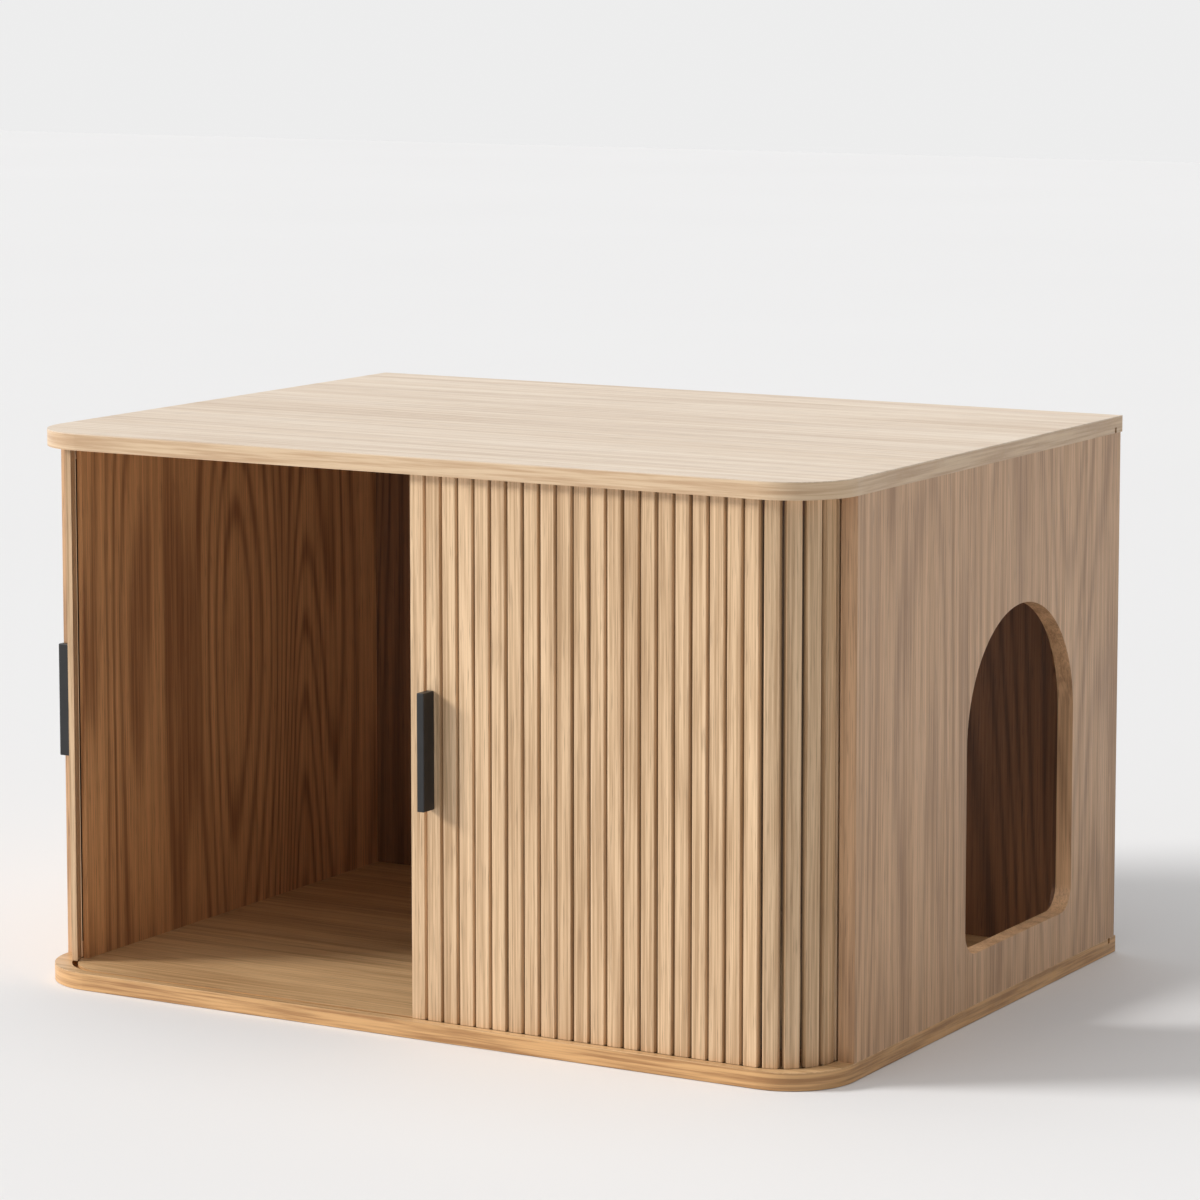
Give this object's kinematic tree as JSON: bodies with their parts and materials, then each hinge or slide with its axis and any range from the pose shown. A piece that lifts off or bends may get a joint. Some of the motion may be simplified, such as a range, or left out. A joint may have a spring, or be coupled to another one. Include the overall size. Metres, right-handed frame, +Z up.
{
  "type": "litter box cabinet",
  "caption": "Low wooden litter box cabinet with slatted roll-away front doors, black bar handles, rounded front corners and an arched pet entry in one side.",
  "frame": {"origin": "on the floor, under the middle of the overall box, handles included", "axes": "+X to the right along the front, +Y to the back, +Z up"},
  "size_m": [0.8, 0.6086, 0.5],
  "materials": {
    "wood_top": "matt oak foil, pale",
    "wood_board": "matt oak foil",
    "wood_slat": "matt oak foil, upright grain",
    "wood_liner": "matt oak foil",
    "wood_back": "matt fibreboard",
    "handle_black": "matt black powder coat",
    "steel": "zinc plated",
    "zinc": "die-cast",
    "dowel_wood": "raw beech",
    "canvas": "woven cotton backing"
  },
  "bodies": {
    "cabinet": {"bottom_panel": "wood_board", "top_panel": "wood_top", "left_side_panel": "wood_board", "right_side_panel": "wood_board", "left_liner": "wood_liner", "right_liner": "wood_liner", "rear_liner": "wood_liner", "back_panel": "wood_back", "cam_bolts": "steel", "cam_locks": "zinc", "dowels": "dowel_wood"},
    "left_curtain": {"left_canvas": "canvas", "left_parked_slats": "wood_slat"},
    "left_lead": {"left_slat_02": "wood_slat", "left_handle": "handle_black", "left_handle_screws": "steel"},
    "left_edge": {"left_slat_01": "wood_slat"},
    "right_curtain": {"right_canvas": "canvas", "right_tail_slats": "wood_slat", "right_slat_03": "wood_slat", "right_slat_04": "wood_slat", "right_slat_05": "wood_slat", "right_slat_06": "wood_slat", "right_slat_07": "wood_slat", "right_slat_08": "wood_slat", "right_slat_09": "wood_slat", "right_slat_10": "wood_slat", "right_slat_11": "wood_slat", "right_slat_12": "wood_slat", "right_slat_13": "wood_slat", "right_slat_14": "wood_slat", "right_slat_15": "wood_slat", "right_slat_16": "wood_slat", "right_slat_17": "wood_slat", "right_slat_18": "wood_slat", "right_slat_19": "wood_slat", "right_slat_20": "wood_slat", "right_slat_21": "wood_slat", "right_slat_22": "wood_slat", "right_slat_23": "wood_slat", "right_slat_24": "wood_slat", "right_slat_25": "wood_slat"},
    "right_lead": {"right_slat_02": "wood_slat", "right_handle": "handle_black", "right_handle_screws": "steel"},
    "right_edge": {"right_slat_01": "wood_slat"}
  },
  "joints": [
    {"name": "left_door_turn", "type": "hinge", "parent": "cabinet", "child": "left_curtain", "pos_m": [-0.3315, -0.23575, 0.25], "axis": [0, 0, 1], "range_deg": [0, 88], "deforming": ["left_canvas", "left_parked_slats"]},
    {"name": "left_door_slide", "type": "slide", "parent": "left_curtain", "child": "left_lead", "axis": [0.0349, -0.9994, 0], "range_m": [0, 0.3055]},
    {"name": "left_edge_fold", "type": "hinge", "parent": "left_lead", "child": "left_edge", "pos_m": [-0.37648, -0.24533, 0.25], "axis": [0, 0, -1], "range_deg": [0, 20.04]},
    {"name": "right_door_turn", "type": "hinge", "parent": "cabinet", "child": "right_curtain", "pos_m": [0.3315, -0.23575, 0.25], "axis": [0, 0, 1], "range_deg": [0, 88], "deforming": ["right_canvas", "right_tail_slats", "right_slat_03", "right_slat_04", "right_slat_05", "right_slat_06", "right_slat_07", "right_slat_08", "right_slat_09", "right_slat_10", "right_slat_11", "right_slat_12", "right_slat_13", "right_slat_14", "right_slat_15", "right_slat_16", "right_slat_17", "right_slat_18", "right_slat_19", "right_slat_20", "right_slat_21", "right_slat_22", "right_slat_23", "right_slat_24", "right_slat_25"]},
    {"name": "right_door_slide", "type": "slide", "parent": "right_curtain", "child": "right_lead", "axis": [1, 0, 0], "range_m": [0, 0.3055]},
    {"name": "right_edge_fold", "type": "hinge", "parent": "right_lead", "child": "right_edge", "pos_m": [0.018, -0.28103, 0.25], "axis": [0, 0, -1], "range_deg": [0, 20.04]}
  ],
  "couplings": [
    {"joint": "left_door_turn", "follows": "left_door_slide", "rad_per_m": 5.0275},
    {"joint": "left_edge_fold", "follows": "left_door_slide", "rad_per_m": 1.1448},
    {"joint": "right_door_turn", "follows": "right_door_slide", "rad_per_m": 5.0275},
    {"joint": "right_edge_fold", "follows": "right_door_slide", "rad_per_m": 1.1448}
  ]
}
